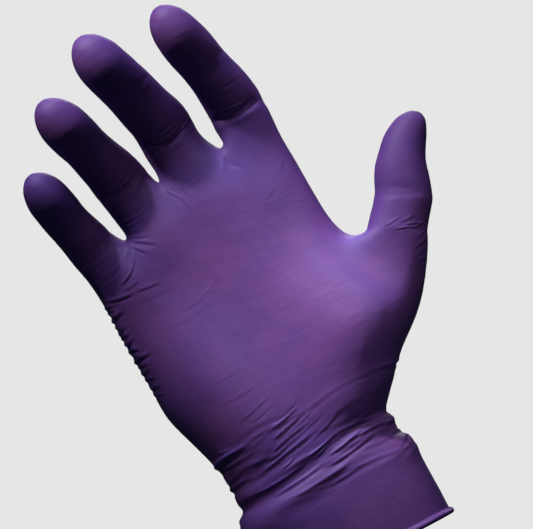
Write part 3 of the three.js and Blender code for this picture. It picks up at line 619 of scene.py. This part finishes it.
# The photograph's view: its own up and right lie turned in the part's front plane.
LEAN = math.radians(27.7)
UP = Vector((math.sin(LEAN), 0, math.cos(LEAN)))
RIGHT = Vector((math.cos(LEAN), 0, -math.sin(LEAN)))
FRONT = Vector((0, -1, 0))
CENTRE = Vector((0.0193, -0.010, 0.1226))
DISTANCE = 8.0
FRAME_WIDTH = 0.2132  # metres across the picture at the glove
PALE = (0.791, 0.791, 0.791, 1)
SHADE = (0.5, 0.72, 1.0, 1)
WARM = (1.0, 0.98, 0.8)
LAMP_DISTANCE = 1.3


def add_camera():
    data = bpy.data.cameras.new("camera")
    data.sensor_fit = "HORIZONTAL"
    data.sensor_width = 36
    data.lens = 36 * DISTANCE / FRAME_WIDTH
    data.clip_end = 30
    camera = bpy.data.objects.new("camera", data)
    turn = Matrix((RIGHT, UP, FRONT)).transposed().to_4x4()
    camera.matrix_world = Matrix.Translation(CENTRE + FRONT * DISTANCE) @ turn
    bpy.context.scene.collection.objects.link(camera)
    bpy.context.scene.camera = camera


def towards(turn, lift):
    """Direction to a lamp, in degrees from the front: to the picture's right, and up."""
    turn, lift = math.radians(turn), math.radians(lift)
    level = FRONT * math.cos(turn) + RIGHT * math.sin(turn)
    return level * math.cos(lift) + UP * math.sin(lift)


def hang(data, direction, aim, distance):
    """Puts a lamp at a distance from the point that it shines on."""
    lamp = bpy.data.objects.new(data.name, data)
    way = direction.normalized()
    lamp.location = aim + way * distance
    lamp.rotation_euler = way.to_track_quat("Z", "Y").to_euler()
    bpy.context.scene.collection.objects.link(lamp)


def add_light(name, direction, distance, size, power, colour=(1, 1, 1)):
    """A round soft lamp on the whole glove."""
    data = bpy.data.lights.new(name, "AREA")
    data.shape = "DISK"
    data.size = size
    data.energy = power
    data.color = colour
    hang(data, direction, CENTRE, distance)


def add_spot(name, direction, aim, angle, power):
    """A warm lamp on the palm whose cone fades from its middle to its edge."""
    data = bpy.data.lights.new(name, "SPOT")
    data.energy = power
    data.color = WARM
    data.spot_size = math.radians(angle)
    data.spot_blend = 1.0
    data.shadow_soft_size = 0.05
    hang(data, direction, aim, LAMP_DISTANCE)


def add_stage():
    """A pale floor under the cuff, of the same plain colour as the surround."""
    pale = bpy.data.materials.new("pale")
    pale.use_nodes = True
    nodes, links = pale.node_tree.nodes, pale.node_tree.links
    nodes.clear()
    glow = add(nodes, "ShaderNodeEmission", Color=PALE, Strength=1.0)
    out = nodes.new("ShaderNodeOutputMaterial")
    links.new(glow.outputs["Emission"], out.inputs["Surface"])
    bpy.ops.mesh.primitive_circle_add(vertices=96, radius=12, fill_type="NGON",
                                      location=(0, 0, -0.0005))
    floor = bpy.context.object
    floor.name = "floor"
    floor.data.materials.append(pale)
    floor.visible_diffuse = False
    floor.visible_glossy = False


def add_world():
    """A pale surround, with only a little light of its own on the glove."""
    world = bpy.data.worlds.new("studio")
    world.use_nodes = True
    nodes, links = world.node_tree.nodes, world.node_tree.links
    dim = nodes["Background"]
    dim.inputs["Color"].default_value = SHADE
    dim.inputs["Strength"].default_value = 0.042
    pale = nodes.new("ShaderNodeBackground")
    pale.inputs["Color"].default_value = PALE
    ray = nodes.new("ShaderNodeLightPath")
    seen = nodes.new("ShaderNodeMixShader")
    links.new(ray.outputs["Is Camera Ray"], seen.inputs["Fac"])
    links.new(dim.outputs["Background"], seen.inputs[1])
    links.new(pale.outputs["Background"], seen.inputs[2])
    links.new(seen.outputs["Shader"], nodes["World Output"].inputs["Surface"])
    bpy.context.scene.world = world


cage = outer_cage(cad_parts["glove"])
print("cage", len(cage.vertices), "faces", len(cage.polygons),
      "triangles left", sum(1 for p in cage.polygons if len(p.vertices) == 3))
outside = reduced(displaced(smooth_surface(cage)), OUTER_TRIANGLES)
rim = rim_band(outside)
inside = reduced(film_inside(outside), INNER_TRIANGLES)
film = joined("glove_film", [outside, rim, inside])
film.data.materials.clear()
film.data.materials.append(nitrile())
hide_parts("glove")
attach(film, "root")
print("film triangles", sum(len(p.vertices) - 2 for p in film.data.polygons))

add_camera()
add_light("left", towards(-50, 66), LAMP_DISTANCE, 0.6, 17, (0.72, 0.8, 1.0))
add_light("top", towards(0, 88), LAMP_DISTANCE, 0.6, 4, (0.8, 0.85, 1.0))
add_light("back", towards(180, 40), 1.5, 0.8, 8)
add_spot("palm_left", towards(-60, 45), Vector((0.032, -0.02, 0.108)), 5.8, 138)
add_spot("palm_right", towards(30, 30), Vector((0.008, -0.02, 0.112)), 6.4, 31)
add_spot("palm_top", towards(0, 55), Vector((0.036, -0.02, 0.108)), 5.8, 38)
add_world()
add_stage()
bpy.context.scene.view_settings.view_transform = "Standard"
